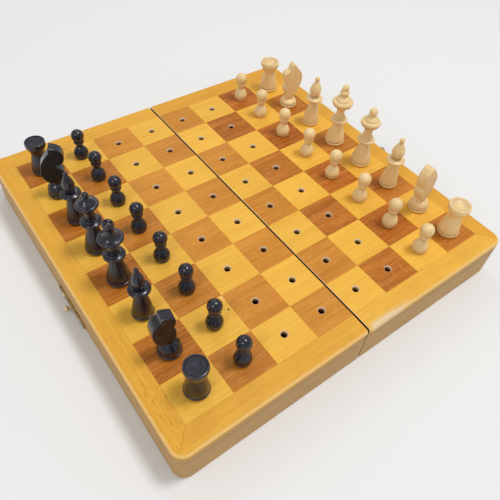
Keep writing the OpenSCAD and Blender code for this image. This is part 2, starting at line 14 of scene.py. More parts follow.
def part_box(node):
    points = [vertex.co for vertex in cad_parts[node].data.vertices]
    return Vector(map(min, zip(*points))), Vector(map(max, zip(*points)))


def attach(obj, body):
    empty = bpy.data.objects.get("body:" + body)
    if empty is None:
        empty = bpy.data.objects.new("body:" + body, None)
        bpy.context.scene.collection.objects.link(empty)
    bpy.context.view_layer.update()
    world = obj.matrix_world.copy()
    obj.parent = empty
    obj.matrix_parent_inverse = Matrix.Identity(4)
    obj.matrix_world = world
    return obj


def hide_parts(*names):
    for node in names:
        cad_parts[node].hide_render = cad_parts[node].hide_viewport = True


MM = 0.001
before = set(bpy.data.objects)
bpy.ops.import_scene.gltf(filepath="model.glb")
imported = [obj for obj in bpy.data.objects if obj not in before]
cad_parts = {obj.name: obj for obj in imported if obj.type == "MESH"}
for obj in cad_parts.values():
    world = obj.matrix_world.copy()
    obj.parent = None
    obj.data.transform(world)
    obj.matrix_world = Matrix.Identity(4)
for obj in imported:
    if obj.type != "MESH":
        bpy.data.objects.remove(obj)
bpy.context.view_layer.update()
chance = random.Random(11)

# Camera, matched to the photograph's square frame
CAMERA_PLACE = Vector((-124.6, -157.7, 219.4))
CAMERA_AHEAD = Vector((0.4204, 0.4910, -0.7630))
CAMERA_RIGHT = Vector((0.8037, -0.5918, 0.0620))
CAMERA_LENS = 37.03

# Radius of rounded edges: outside, round the corners at the seam, along the seam, at joints and at the rims
ARRIS = 1.6
SEAM_CORNER_ARRIS = ARRIS * 0.7
SEAM_ARRIS = 0.42
JOINT_EASE = 0.04
RIM_EASE = 0.5

# Chamfer of a peg hole, height of a glue line, and the flat margin kept beside an edge
HOLE_RIM = 0.45
GLUE_LINE = 0.45
EDGE_MARGIN = 0.3

# How near the board's outline, the arc of its corner (as a share of its radius) and the seam an edge counts
# as lying on it
NEAR_EDGE = 0.5
NEAR_ARC = 0.93
NEAR_SEAM = 0.01

CORNER_STEPS = 10
ARRIS_STEPS = 6
HOLE_STEPS = 32
LATHE_STEPS = 64

# Sine of the bend below which a corner of an outline moves along the mean of its two normals
SLIGHT_BEND = 0.4

# Peg hole from the surface down its bore: radius past the hole's own, depth, wear and darkness. The darkness deep
# in the bore is painted shade.
HOLE_PROFILE = (
    (HOLE_RIM * 2, 0.0, 0.0, 0.0), (HOLE_RIM, 0.02, 0.5, 0.0), (HOLE_RIM * 0.7, 0.12, 0.9, 0.0),
    (0.0, 0.55, 1.0, 0.0), (0.0, 1.3, 0.7, 0.3), (0.0, 2.4, 0.0, 0.9),
)

# How yellow the brown squares of each column are, from the seam out, and how pale the outer, near
# and far strips are: partly the wood's own tone and partly painted light, a painted sheen that makes the
# columns by the seam and some strips paler
BROWN_TONES_AND_SHEEN = {-1: (0.95, 0.9, 0.55, 0.2), 1: (0.9, 0.25, 0.0, 0.35)}
STRIP_TONES_AND_LIGHT = {-1: (0.6, 0.6, 0.6), 1: (0.55, 0.95, 0.45)}
TONE_SPREAD = 0.12

# Small flaws in the squares: place on the board, radius and whether it is dark
FLAWS = [(-45.9, -54.9, 0.55, True), (-44.8, -47.6, 0.6, False), (-44.6, -49.6, 0.5, False)]

# Rubbed stretch of the near border: first and last x, how far it reaches in from the edge, and how far it
# fades at either end
RUBBED = (1.0, 32.0, 4.2)
RUBBED_FADES = (3.0, 14.0)

# Places along Y between which the scratches grow towards the near-left corner
SCRATCHED = (-25.0, -75.0)


def node_box(node):
    """Lowest and highest corners of a CAD node, in millimetres."""
    low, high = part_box(node)
    return low / MM, high / MM


def centre(node):
    low, high = node_box(node)
    return (low + high) / 2


class Board:
    """Places of the board that all its pieces share, read from the white half's nodes."""

    panel_low, panel_high = node_box("white_half_panel")
    tiles_low, tiles_high = node_box("white_half_dark_squares")
    wall_low, wall_high = node_box("white_half_near_wall")
    border_low, border_high = node_box("white_half_border")
    seam = panel_low.x
    half_w = panel_high.x
    half_l = panel_high.y
    wall_t = wall_high.y - wall_low.y
    wall_h = panel_low.z
    tile_z = border_low.z
    top = border_high.z
    field = tiles_high.x
    corner_r = 6.0
    seam_corner_r = 1.6
    hole_r = 1.6


def grid_lines():
    """Lines between the squares: distances from the seam axis, and places along Y."""
    pitch = centre("white_rook_near").x - centre("white_pawn_1").x
    across = [Board.seam] + [Board.field - pitch * k for k in (3, 2, 1, 0)]
    along = [Board.tiles_low.y]
    for j in range(1, 9):
        along.append(2 * centre(f"white_pawn_{j}").y - along[-1])
    return across, along


COLUMNS, ROWS = grid_lines()


class Shape:
    """Mesh under construction, in millimetres, with wear, darkness, tone and a seed on each point. Some of the
    darkness is painted shade, some of the tone painted sheen and shade, and some of the wear a painted highlight.
    """

    def __init__(self):
        self.points = []
        self.faces = []
        self.slots = []
        self.marks = {"worn": [], "dark": [], "tone": [], "seed": []}
        self.seed = 0.0
        self.tone = 0.5

    def point(self, x, y, z, worn=0.0, dark=0.0):
        self.points.append((x, y, z))
        for key, value in (("worn", worn), ("dark", dark), ("tone", self.tone), ("seed", self.seed)):
            self.marks[key].append(value)
        return len(self.points) - 1

    def ring(self, outline, z, worn=0.0, dark=0.0):
        return [self.point(x, y, z, worn, dark) for x, y in outline]

    def face(self, corners, slot=0):
        self.faces.append(tuple(corners))
        self.slots.append(slot)

    def band(self, low, high, slot=0):
        """Joins two rings of equal length with quads; the outline runs anticlockwise."""
        n = len(low)
        for i in range(n):
            k = (i + 1) % n
            self.face((low[i], low[k], high[k], high[i]), slot)

    def build(self, name, materials, body, replaced, place=(0, 0, 0), turn=0.0, smooth=30.0):
        mesh = bpy.data.meshes.new(name)
        mesh.from_pydata([Vector(p) * MM for p in self.points], [], self.faces)
        mesh.polygons.foreach_set("material_index", self.slots)
        for key, values in self.marks.items():
            mesh.attributes.new(key, "FLOAT", "POINT").data.foreach_set("value", values)
        mesh.update()
        mesh.shade_smooth()
        mesh.set_sharp_from_angle(angle=math.radians(smooth))
        for material in materials:
            mesh.materials.append(material)
        piece = bpy.data.objects.new(name, mesh)
        bpy.context.scene.collection.objects.link(piece)
        piece.location = Vector(place) * MM
        piece.rotation_euler = (0, 0, math.radians(turn))
        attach(piece, body)
        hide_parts(replaced)


def inset(outline, shares, depth):
    """Moves each edge of an anticlockwise outline inwards by its share of the depth."""
    n = len(outline)
    moved = []
    for i in range(n):
        a = Vector(outline[i - 1])
        b = Vector(outline[i])
        c = Vector(outline[(i + 1) % n])
        before = (b - a).normalized()
        after = (c - b).normalized()
        n0 = Vector((-before.y, before.x))
        n1 = Vector((-after.y, after.x))
        d0 = shares[i - 1] * depth
        d1 = shares[i] * depth
        det = n0.x * n1.y - n0.y * n1.x
        if abs(det) < SLIGHT_BEND:
            shift = (n0 + n1).normalized() * (d0 + d1) / 2
        else:
            shift = Vector((d0 * n1.y - d1 * n0.y, n0.x * d1 - n1.x * d0)) / det
        moved.append(tuple(b + shift))
    return moved


def slab(shape, outline, z0, z1, arrises, low_ease=JOINT_EASE, low_dark=0.0, high_dark=0.0):
    """Upright slab whose top edges are rounded by their own radius and its bottom edges eased."""
    radius = max(arrises)
    shares = [r / radius for r in arrises]
    rounded = radius > 2 * JOINT_EASE
    bottom = shape.ring(inset(outline, [1.0] * len(outline), low_ease), z0, dark=low_dark)
    shape.face(reversed(bottom))
    last = shape.ring(outline, z0 + low_ease, dark=low_dark)
    shape.band(bottom, last)
    for z in (z0 + low_ease + GLUE_LINE, z1 - radius - GLUE_LINE):
        ring = shape.ring(outline, z)
        shape.band(last, ring)
        last = ring
    steps = ARRIS_STEPS if rounded else 1
    for k in range(steps + 1):
        angle = math.pi / 2 * k / steps
        # Wear mark across a rounded arris; on the border strips its pale colour is partly a painted highlight
        worn = math.sin(2 * angle) if rounded else 0.0
        ring = shape.ring(
            inset(outline, shares, radius * (1 - math.cos(angle))),
            z1 - radius * (1 - math.sin(angle)),
            worn, 0.0 if rounded else high_dark,
        )
        shape.band(last, ring)
        last = ring
    margin = radius + EDGE_MARGIN
    flat = [(r + EDGE_MARGIN) / margin for r in arrises]
    ring = shape.ring(inset(outline, flat, margin), z1)
    shape.band(last, ring)
    shape.face(ring)


def arc(cx, cy, r, start, end, steps):
    """Points of an arc, both ends included; angles in degrees."""
    span = [math.radians(start + (end - start) * k / steps) for k in range(steps + 1)]
    return [(cx + r * math.cos(a), cy + r * math.sin(a)) for a in span]


def on_side(outline, side):
    """An outline drawn for the white half, or its mirror image for the black half."""
    return outline if side > 0 else [(-x, y) for x, y in reversed(outline)]


def outer_corner(y_side):
    """Round outer corner of the white half, running anticlockwise."""
    x = Board.half_w - Board.corner_r
    y = y_side * (Board.half_l - Board.corner_r)
    start = -90 if y_side < 0 else 0
    return arc(x, y, Board.corner_r, start, start + 90, CORNER_STEPS)


def seam_corner(y_side):
    x = Board.seam + Board.seam_corner_r
    y = y_side * (Board.half_l - Board.seam_corner_r)
    start = 180 if y_side < 0 else 90
    return arc(x, y, Board.seam_corner_r, start, start + 90, CORNER_STEPS // 2)


def border_outlines():
    """The three mitred strips of the white half: outer, near and far."""
    y0, y1 = ROWS[0], ROWS[-1]
    near_arc = outer_corner(-1)
    far_arc = outer_corner(1)
    half = CORNER_STEPS // 2
    outer = near_arc[half:] + far_arc[: half + 1] + [(Board.field, y1), (Board.field, y0)]
    near = seam_corner(-1) + near_arc[: half + 1] + [(Board.field, y0), (Board.seam, y0)]
    far = far_arc[half:] + seam_corner(1) + [(Board.seam, y1), (Board.field, y1)]
    return outer, near, far


def edge_radius(x, y):
    """Top radius of a border edge with its middle there: wide outside, small along the seam."""
    x, y = abs(x), abs(y)
    corner_x = Board.half_w - Board.corner_r
    corner_y = Board.half_l - Board.corner_r
    in_corner = x > corner_x and y > corner_y
    on_arc = in_corner and math.hypot(x - corner_x, y - corner_y) > Board.corner_r * NEAR_ARC
    if x > Board.half_w - NEAR_EDGE or y > Board.half_l - NEAR_EDGE or on_arc:
        return ARRIS
    if x < Board.seam + Board.seam_corner_r and y > Board.half_l - Board.seam_corner_r:
        return SEAM_CORNER_ARRIS
    if x < Board.seam + NEAR_SEAM:
        return SEAM_ARRIS
    return JOINT_EASE


def edge_radii(outline):
    ends = zip(outline, outline[1:] + outline[:1])
    return [edge_radius((a[0] + b[0]) / 2, (a[1] + b[1]) / 2) for a, b in ends]


def border(side, half, along, across):
    """The strips of a half; the grain of the outer one runs along Y."""
    shape = Shape()
    for k, outline in enumerate(border_outlines()):
        outline = on_side(outline, side)
        shape.seed = chance.random() + k
        # The strip's tone is partly painted light
        shape.tone = STRIP_TONES_AND_LIGHT[side][k]
        first = len(shape.faces)
        slab(shape, outline, Board.tile_z, Board.top, edge_radii(outline), low_dark=1.0)
        if k == 0:
            shape.slots[first:] = [1] * (len(shape.faces) - first)
    shape.build(f"{half}_border_strips", [across, along], half, f"{half}_border")


def tile(shape, x0, x1, y0, y1):
    """One square with its peg hole; the rim of the hole is chamfered and worn, the bore darkened with painted
    shade.
    """
    z0, z1 = Board.tile_z, Board.top
    cx, cy = (x0 + x1) / 2, (y0 + y1) / 2
    quarter = HOLE_STEPS // 4

    def outline(ease):
        a, b = x0 + ease, x1 - ease
        c, d = y0 + ease, y1 - ease
        corners = [(a, c), (b, c), (b, d), (a, d)]
        points = []
        for p, q in zip(corners, corners[1:] + corners[:1]):
            for k in range(quarter):
                t = k / quarter
                points.append((p[0] + (q[0] - p[0]) * t, p[1] + (q[1] - p[1]) * t))
        return points

    def circle(r):
        return arc(cx, cy, r, 225, 585 - 360 / HOLE_STEPS, HOLE_STEPS - 1)

    sides = ((0, z0), (0, z1 - JOINT_EASE), (JOINT_EASE, z1), (EDGE_MARGIN, z1))
    rings = [shape.ring(outline(ease), z) for ease, z in sides]
    for wider, depth, worn, dark in HOLE_PROFILE:
        rings.append(shape.ring(circle(Board.hole_r + wider), z1 - depth, worn, dark))
    rings.append(shape.ring(circle(Board.hole_r), z0, 0.0, 1.0))
    for low, high in zip(rings, rings[1:] + rings[:1]):
        shape.band(low, high)


def squares(side, half, dark, material):
    """All brown or all honey squares of a half; the near square at the seam is brown on the black half."""
    shape = Shape()
    parity = 0 if (side < 0) == dark else 1
    for k in range(len(COLUMNS) - 1):
        for j in range(len(ROWS) - 1):
            if (k + j) % 2 == parity:
                xs = sorted((side * COLUMNS[k], side * COLUMNS[k + 1]))
                shape.seed = chance.random() * 5 + 4 * j + k
                # The square's tone is partly painted sheen
                shape.tone = BROWN_TONES_AND_SHEEN[side][k] + chance.uniform(-TONE_SPREAD, TONE_SPREAD)
                tile(shape, xs[0], xs[1], ROWS[j], ROWS[j + 1])
    tone = "dark" if dark else "light"
    shape.build(f"{half}_{tone}_tiles", [material], half, f"{half}_{tone}_squares")


def walls(side, half, along, across):
    """Outer, near and far walls of a half; the inner wall stays the CAD node."""
    inner_x = Board.half_w - Board.wall_t
    inner_y = Board.half_l - Board.wall_t
    seam_x = Board.seam + Board.wall_t
    ends = {
        "outer": [(inner_x, -Board.half_l)] + outer_corner(-1) + outer_corner(1) + [(inner_x, Board.half_l)],
        "near": [(seam_x, -Board.half_l), (inner_x, -Board.half_l), (inner_x, -inner_y), (seam_x, -inner_y)],
        "far": [(seam_x, inner_y), (inner_x, inner_y), (inner_x, Board.half_l), (seam_x, Board.half_l)],
    }
    for name, outline in ends.items():
        shape = Shape()
        shape.seed = chance.random() * 3
        slab(shape, on_side(outline, side), 0.0, Board.wall_h, [JOINT_EASE] * len(outline), RIM_EASE,
             high_dark=1.0)
        shape.build(f"{half}_{name}_side", [along if name == "outer" else across], half,
                    f"{half}_{name}_wall")


# Materials


class Shader:
    """One material: a Principled surface and the procedural nodes that feed it."""

    def __init__(self, name):
        self.material = bpy.data.materials.new(name)
        self.material.use_nodes = True
        self.tree = self.material.node_tree
        self.tree.nodes.clear()
        self.surface = self.tree.nodes.new("ShaderNodeBsdfPrincipled")
        output = self.tree.nodes.new("ShaderNodeOutputMaterial")
        self.tree.links.new(self.surface.outputs["BSDF"], output.inputs["Surface"])

    def put(self, socket, value):
        if isinstance(value, bpy.types.NodeSocket):
            self.tree.links.new(value, socket)
        else:
            socket.default_value = value

    def set(self, **values):
        for name, value in values.items():
            self.put(self.surface.inputs[name.replace("_", " ")], value)

    def add(self, kind, values, output=0, **settings):
        node = self.tree.nodes.new("ShaderNode" + kind)
        for name, value in settings.items():
            setattr(node, name, value)
        for key, value in values.items():
            self.put(node.inputs[key], value)
        return node.outputs[output]

    def math(self, operation, a, b=0.0, clamp=False):
        return self.add("Math", {0: a, 1: b}, operation=operation, use_clamp=clamp)

    def times(self, a, b):
        return self.math("MULTIPLY", a, b)

    def swing(self, value, size):
        """A noise value turned to swing about 0 by roughly half the size to either side."""
        return self.times(self.math("SUBTRACT", value, 0.5), size * 2.5)

    def total(self, *values, clamp=False):
        result = values[0]
        for value in values[1:-1]:
            result = self.math("ADD", result, value)
        return self.math("ADD", result, values[-1], clamp)

    def mix(self, factor, a, b, blend="MIX"):
        return self.add("Mix", {0: factor, 6: a, 7: b}, 2, data_type="RGBA", blend_type=blend)

    def noise(self, vector, scale=1.0, detail=2.0, roughness=0.5):
        return self.add("TexNoise", {"Vector": vector, "Scale": scale, "Detail": detail, "Roughness": roughness})

    def steps(self, value, low, high):
        """Smooth change from 0 at low to 1 at high."""
        return self.add("MapRange", {0: value, 1: low, 2: high, 3: 0.0, 4: 1.0}, interpolation_type="SMOOTHSTEP")

    def stored(self, name):
        return self.add("Attribute", {}, "Fac", attribute_name=name)

    def place(self):
        """Object coordinates in millimetres."""
        coordinates = self.add("TexCoord", {}, "Object")
        return self.add("VectorMath", {0: coordinates, "Scale": 1 / MM}, operation="SCALE")

    def axes(self, vector):
        """The three components of a vector."""
        return list(self.add("SeparateXYZ", {0: vector}).node.outputs)

    def vector(self, x, y, z):
        return self.add("CombineXYZ", {0: x, 1: y, 2: z})

    def shifted(self, vector, seed, reach=(37.0, 13.7, 7.3)):
        """The vector moved to another part of the texture for each seed."""
        shift = self.vector(*(self.times(seed, size) for size in reach))
        return self.add("VectorMath", {0: vector, 1: shift}, operation="ADD")

    def bump(self, height, distance):
        return self.add("Bump", {"Height": height, "Distance": distance * MM, "Strength": 1.0})


def rgb(red, green, blue):
    """Colour given as it shows on a screen, 0 to 255, turned into the linear values of a shader."""
    def linear(value):
        share = value / 255
        return share / 12.92 if share <= 0.04045 else ((share + 0.055) / 1.055) ** 2.4
    return (linear(red), linear(green), linear(blue), 1.0)


GRAIN_ORDER = {"x": (0, 1, 2), "y": (1, 0, 2)}
# Painted shade deep in the peg holes; the same colour marks the dark flaws of the squares
BORE_SHADE_AND_DARK_FLAW = rgb(26, 12, 6)
# Colour of the painted shadow in the gap between the halves
SEAM_SHADOW = rgb(46, 20, 8)
GLUE = rgb(96, 60, 28)
PALE_CHIP = rgb(236, 202, 150)
PALE_WEAR = rgb(226, 206, 176)
# Pale colour of the worn border arrises, partly a painted highlight
CREAM_WEAR_AND_HIGHLIGHT = rgb(238, 198, 128)
FLECK = rgb(226, 166, 98)
DASH = rgb(150, 88, 20)
EDGE_STAIN = rgb(196, 146, 96)
SCORED_LINE = rgb(104, 68, 38)
CREVICE = rgb(7, 7, 9)
# Darker sawn colours: painted shade on the far black knight's sawn faces
SAWN_SHADE = (rgb(22, 17, 16), rgb(34, 27, 25))

# Distances from the seam axis between which the painted seam shadow and the rubbed edge fade out
SEAM_SHADOW_REACH = (0.6, 0.42)
SEAM_RUB_REACH = (1.1, 0.8)

# The panel is painted with the shade of a bore this far in from its outline
BORE_MARGIN = 2

# Height of the grain's relief, and the specular level of thin varnish
RELIEF = 0.03
VARNISH_SHINE = 0.22


def seam_shade(s, own, colour):
    """Painted shadow in the narrow groove between the halves, and beside it a rubbed edge on the white half.

    The painted shadow is strong near the top and at the ends, and weak on the rest of the faces that meet when it
    opens.
    """
    x, y, z = s.axes(own)
    away = s.math("ABSOLUTE", x)
    rubbed = s.times(s.steps(x, *SEAM_RUB_REACH), s.math("GREATER_THAN", x, 0.0))
    colour = s.mix(s.times(rubbed, 0.5), colour, PALE_CHIP)
    # Painted shadow of the gap, strongest near the top and at the ends
    near_top = s.steps(z, Board.top - 5.0, Board.top - 2.0)
    near_ends = s.steps(s.math("ABSOLUTE", y), Board.half_l - 4.0, Board.half_l - 1.5)
    strength = s.total(0.25, s.times(s.math("MAXIMUM", near_top, near_ends), 0.7))
    return s.mix(s.times(s.steps(away, *SEAM_SHADOW_REACH), strength), colour, SEAM_SHADOW)


def worn_edges(s, own, colour, worn):
    """Wear on the marked edges (on the border arrises partly a painted highlight), and on the marked dark parts
    glue low down or the painted shade of a bore higher up.
    """
    ragged = s.noise(own, 0.9, 3.0)
    rubbed = s.steps(s.total(s.stored("worn"), s.swing(ragged, 0.25)), 0.4, 0.85)
    colour = s.mix(s.times(rubbed, 0.8), colour, worn)
    above_glue = s.steps(s.axes(own)[2], Board.tile_z + 0.5, Board.tile_z + 0.9)
    # Dark marks: glue lines low down, painted shade of the bores higher up
    return s.mix(s.times(s.stored("dark"), 0.85), colour, s.mix(above_glue, GLUE, BORE_SHADE_AND_DARK_FLAW))


def knocked(s, own, colour, flaws):
    """Small ragged spots, dark or pale, on the surface of the squares."""
    for x, y, radius, dark in flaws:
        away = s.add("VectorMath", {0: own, 1: (x, y, Board.top)}, "Value", operation="DISTANCE")
        away = s.total(away, s.swing(s.noise(own, 2.5), 0.6 * radius))
        colour = s.mix(s.steps(away, radius * 1.2, radius * 0.6), colour, BORE_SHADE_AND_DARK_FLAW if dark else PALE_CHIP)
    return colour


def rubbed_border(s, own, colour, hairs):
    """Stretch of the near border that is rubbed down to pale wood between hairs of varnish."""
    first, last, reach = RUBBED
    x, y, _ = s.axes(own)
    inward = s.total(y, Board.half_l - reach / 2)
    lengthwise = s.times(s.steps(x, first, first + RUBBED_FADES[0]), s.steps(x, last, last - RUBBED_FADES[1]))
    spot = s.times(lengthwise, s.steps(inward, reach * 0.5, -reach * 0.1))
    return s.mix(s.times(s.times(spot, s.steps(hairs, 0.36, 0.56)), 0.8), colour, PALE_WEAR)


def wood(name, early, late, grain="x", streaks=0.5, pitch=1.4, fibres=0.3, flecks=0.0, dashes=0.0,
         second=None, flush=None, worn=PALE_WEAR, flaws=(), rubbed_edge=False, scratched=False, tone=0.05,
         gloss=0.42):
    """Straight-grained wood under thin varnish: streaks, fibres and pores that run along the grain.

    The two colours are those of early and late wood. second is such a pair for squares or strips of the other
    tone, and flush a third colour in broad patches. scratched keeps the dashes to the near-left corner.
    """
    s = Shader(name)
    seed = s.stored("seed")
    own = s.place()
    moved = s.shifted(own, seed)
    parts = s.axes(moved)
    along, across, up = (parts[k] for k in GRAIN_ORDER[grain])
    bend = s.noise(s.vector(s.times(along, 0.012), s.times(across, 0.02), up))
    across = s.math("ADD", across, s.times(s.math("SUBTRACT", bend, 0.5), 5.0))

    def stretched(a, b, detail=2.0, roughness=0.5):
        return s.noise(s.vector(s.times(along, a), s.times(across, b), s.times(up, b)), 1.0, detail, roughness)

    streak = stretched(0.022, 1 / pitch, 4.0, 0.65)
    fine = stretched(0.07, 4.5, 2.0, 0.65)
    broad = stretched(0.012, 0.14)
    share = s.total(0.5, s.swing(streak, streaks), s.swing(fine, fibres), s.swing(broad, 0.5 * streaks),
                    clamp=True)
    colour = s.mix(share, early, late)
    if second:
        # The stored tone, partly painted sheen, picks between the two pairs of colours
        colour = s.mix(s.stored("tone"), colour, s.mix(share, *second))
    if flush:
        reach = s.steps(stretched(0.02, 0.35), 0.55, 0.72)
        colour = s.mix(s.times(reach, 0.35), colour, flush)
    if flecks:
        fleck = s.steps(stretched(0.30, 3.4, 1.0), 0.61, 0.72)
        colour = s.mix(s.times(fleck, flecks), colour, FLECK)
    if dashes:
        dash = s.times(s.steps(stretched(0.26, 3.6, 1.0), 0.60, 0.70), dashes)
        if scratched:
            x, y, _ = s.axes(own)
            corner = s.times(s.steps(y, *SCRATCHED), s.math("LESS_THAN", x, 0.0))
            dash = s.times(dash, s.total(0.3, s.times(corner, 0.9)))
        colour = s.mix(dash, colour, DASH)
    patch = s.noise(moved, 0.035, 2.0)
    hue = s.math("SUBTRACT", s.math("FRACT", s.times(seed, 7.77)), 0.5)
    level = s.total(1.0, s.times(hue, tone), s.swing(patch, tone))
    shade = s.vector(level, s.math("POWER", level, 1.3), s.math("POWER", level, 1.8))
    colour = s.mix(1.0, colour, shade, "MULTIPLY")
    colour = knocked(s, own, worn_edges(s, own, colour, worn), flaws)
    if rubbed_edge:
        colour = rubbed_border(s, own, colour, stretched(0.06, 1.6, 3.0, 0.7))
    # Painted shadow in the gap between the halves, and the rubbed edge on the white half beside it
    colour = seam_shade(s, own, colour)
    rough = s.total(gloss - 0.07, s.times(s.noise(own, 0.2, 4.0), 0.14))
    s.set(Base_Color=colour, Roughness=rough, Specular_IOR_Level=VARNISH_SHINE, Normal=s.bump(fine, RELIEF))
    return s.material


def panel_wood():
    """Panel under the squares; it is painted with shade in the peg holes and is dark at its two glue lines."""
    s = Shader("panel_wood")
    own = s.place()
    x, y, z = s.axes(own)
    grain = s.noise(s.vector(s.times(x, 0.03), s.times(y, 0.8), s.times(z, 0.8)), 1.0, 4.0, 0.6)
    colour = s.mix(s.total(0.5, s.swing(grain, 0.5), clamp=True), rgb(206, 168, 104), rgb(176, 132, 72))
    # Painted shade on the panel inside its outline, where it shows only through the peg holes
    inside_x = s.math("LESS_THAN", s.math("ABSOLUTE", x), Board.half_w - BORE_MARGIN)
    inside_y = s.math("LESS_THAN", s.math("ABSOLUTE", y), Board.half_l - BORE_MARGIN)
    above = s.math("GREATER_THAN", z, Board.wall_h + 0.2)
    bore_shade = s.times(s.times(inside_x, inside_y), above)
    top_line = s.steps(z, Board.tile_z - GLUE_LINE, Board.tile_z)
    low_line = s.steps(z, Board.wall_h + GLUE_LINE, Board.wall_h)
    lines = s.times(s.math("MAXIMUM", top_line, low_line), s.math("GREATER_THAN", z, Board.wall_h + 0.01))
    colour = s.mix(s.times(lines, 0.85), colour, GLUE)
    # Painted shade of the holes, then the painted shadow of the seam gap
    colour = seam_shade(s, own, s.mix(bore_shade, colour, BORE_SHADE_AND_DARK_FLAW))
    s.set(Base_Color=colour, Roughness=0.5, Specular_IOR_Level=VARNISH_SHINE, Normal=s.bump(grain, 0.05))
    return s.material


def lathe_lines(s, own, seed, pitch):
    """Fine lines that a lathe leaves round the axis."""
    x, y, z = s.axes(own)
    radius = s.add("VectorMath", {0: s.vector(x, y, 0.0)}, "Value", operation="LENGTH")
    return s.noise(s.vector(s.times(radius, pitch), seed, s.times(z, pitch)), 1.0, 3.0, 0.7)


def lacquered(name, colour, sheen, wear_and_highlight, gloss=0.3, coat=0.75, relief=RELIEF, sawn=False):
    """Black stain and lacquer over turned or sawn wood, rubbed thin on sharp edges, where the paler rub is partly
    a painted highlight.

    A sawn surface is browner, except where the tone is 1: there it takes the darker colours of painted shade.
    """
    s = Shader(name)
    seed = s.stored("seed")
    own = s.place()
    moved = s.shifted(own, seed)
    turned = lathe_lines(s, own, seed, 4.0)
    if sawn:
        x, y, z = s.axes(own)
        turned = s.noise(s.vector(s.times(x, 0.15), s.times(y, 2.0), s.times(z, 2.6)), 1.0, 3.0, 0.6)
        # Where the tone is 1 the sawn faces get painted shade
        colour = s.mix(s.stored("tone"), colour, SAWN_SHADE[0])
        sheen = s.mix(s.stored("tone"), sheen, SAWN_SHADE[1])
    blotch = s.noise(moved, 0.35, 3.0)
    specks = s.noise(moved, 2.2, 3.0)
    tint = s.mix(s.steps(s.total(blotch, s.swing(turned, 0.15)), 0.35, 0.7), colour, sheen)
    # Paler rub on the worn edges, partly a painted highlight
    rub = s.steps(s.total(s.stored("worn"), s.swing(specks, 0.35)), 0.55, 1.05)
    tint = s.mix(s.times(rub, 0.7), tint, wear_and_highlight)
    tint = s.mix(s.times(s.stored("dark"), 0.9), tint, CREVICE)
    height = s.total(turned, s.times(specks, 0.5))
    s.set(Base_Color=tint, Roughness=s.total(gloss - 0.08, s.times(blotch, 0.2)), Coat_Weight=coat,
          Coat_Roughness=0.17, Specular_IOR_Level=0.25, Normal=s.bump(height, relief))
    return s.material


def boxwood(name, early, late, gloss=0.33, sawn=False):
    """Pale wood of the white pieces, with grain along the axis and lathe lines round it."""
    s = Shader(name)
    seed = s.stored("seed")
    own = s.place()
    x, y, z = s.axes(s.shifted(own, seed, (11.0, 5.0, 3.0)))
    grain = s.vector(x, y, s.times(z, 0.06))
    bands = s.noise(grain, 0.55, 3.0)
    fine = s.noise(grain, 3.0, 3.0, 0.6)
    turned = lathe_lines(s, own, seed, 3.0)
    share = s.total(0.45, s.swing(bands, 0.35), s.swing(fine, 0.25), s.swing(turned, 0.22), clamp=True)
    colour = s.mix(share, early, late)
    colour = s.mix(s.times(s.stored("worn"), 0.25), colour, EDGE_STAIN)
    colour = s.mix(s.times(s.stored("dark"), 0.8), colour, SCORED_LINE)
    level = s.total(0.95, s.times(s.math("FRACT", s.times(seed, 3.3)), 0.1))
    colour = s.mix(1.0, colour, s.vector(level, level, s.math("POWER", level, 1.4)), "MULTIPLY")
    height = turned
    if sawn:
        up = s.axes(own)[2]
        marks = s.noise(s.vector(s.times(x, 2.2), s.times(y, 0.1), s.times(up, 2.2)), 1.0, 2.0)
        height = s.total(marks, s.times(fine, 0.3))
    s.set(Base_Color=colour, Roughness=gloss, Specular_IOR_Level=0.42,
          Normal=s.bump(height, 0.10 if sawn else 0.05))
    return s.material


def brass(name, bright, dull, gloss):
    """Thin plated brass, bright where it is rubbed and dull in patches."""
    s = Shader(name)
    own = s.place()
    patches = s.steps(s.noise(own, 0.5, 4.0, 0.6), 0.4, 0.7)
    scratches = s.noise(s.add("VectorMath", {0: own, 1: (0.4, 6.0, 3.0)}, operation="MULTIPLY"), 1.0, 2.0)
    s.set(Base_Color=s.mix(patches, bright, dull), Metallic=1.0, Roughness=s.total(gloss, s.times(patches, 0.2)),
          Normal=s.bump(s.total(scratches, patches), 0.012))
    return s.material


WALL = dict(early=rgb(206, 168, 104), late=rgb(174, 128, 68), streaks=0.35, pitch=2.2, fibres=0.3, worn=CREAM_WEAR_AND_HIGHLIGHT,
            gloss=0.48, tone=0.06)
STRIP = dict(early=rgb(224, 160, 40), late=rgb(196, 128, 24), second=(rgb(244, 192, 78), rgb(222, 162, 54)),
             streaks=0.35, pitch=1.8, fibres=0.3, worn=CREAM_WEAR_AND_HIGHLIGHT)

honey = wood("honey_tiles", rgb(248, 196, 80), rgb(218, 158, 46), streaks=0.32, pitch=1.2, fibres=0.42,
             dashes=0.12, flaws=FLAWS)
honey_across = wood("honey_strip_across", **STRIP, dashes=0.2, rubbed_edge=True)
honey_along = wood("honey_strip_along", **STRIP, grain="y", dashes=0.55, scratched=True)
brown = wood("brown_tiles", rgb(198, 116, 34), rgb(138, 66, 8), streaks=0.75, pitch=0.9, fibres=0.6, flecks=0.55,
             second=(rgb(218, 150, 56), rgb(190, 120, 26)), flush=rgb(214, 138, 66),
             worn=rgb(222, 200, 176), tone=0.08)
wall_across = wood("wall_across", **WALL)
wall_along = wood("wall_along", **WALL, grain="y")
panel = panel_wood()
black_stain = lacquered("black_lacquer", rgb(17, 17, 27), rgb(30, 30, 47), rgb(84, 68, 66))
black_sawn = lacquered("black_sawn", rgb(48, 29, 20), rgb(72, 46, 33), rgb(90, 64, 50),
                       gloss=0.6, coat=0.0, relief=0.06, sawn=True)
black_end = lacquered("black_end_grain", rgb(46, 46, 55), rgb(64, 64, 76), rgb(92, 86, 88),
                      gloss=0.62, coat=0.0, relief=0.08)
white_wood = boxwood("boxwood", rgb(248, 222, 166), rgb(220, 182, 122))
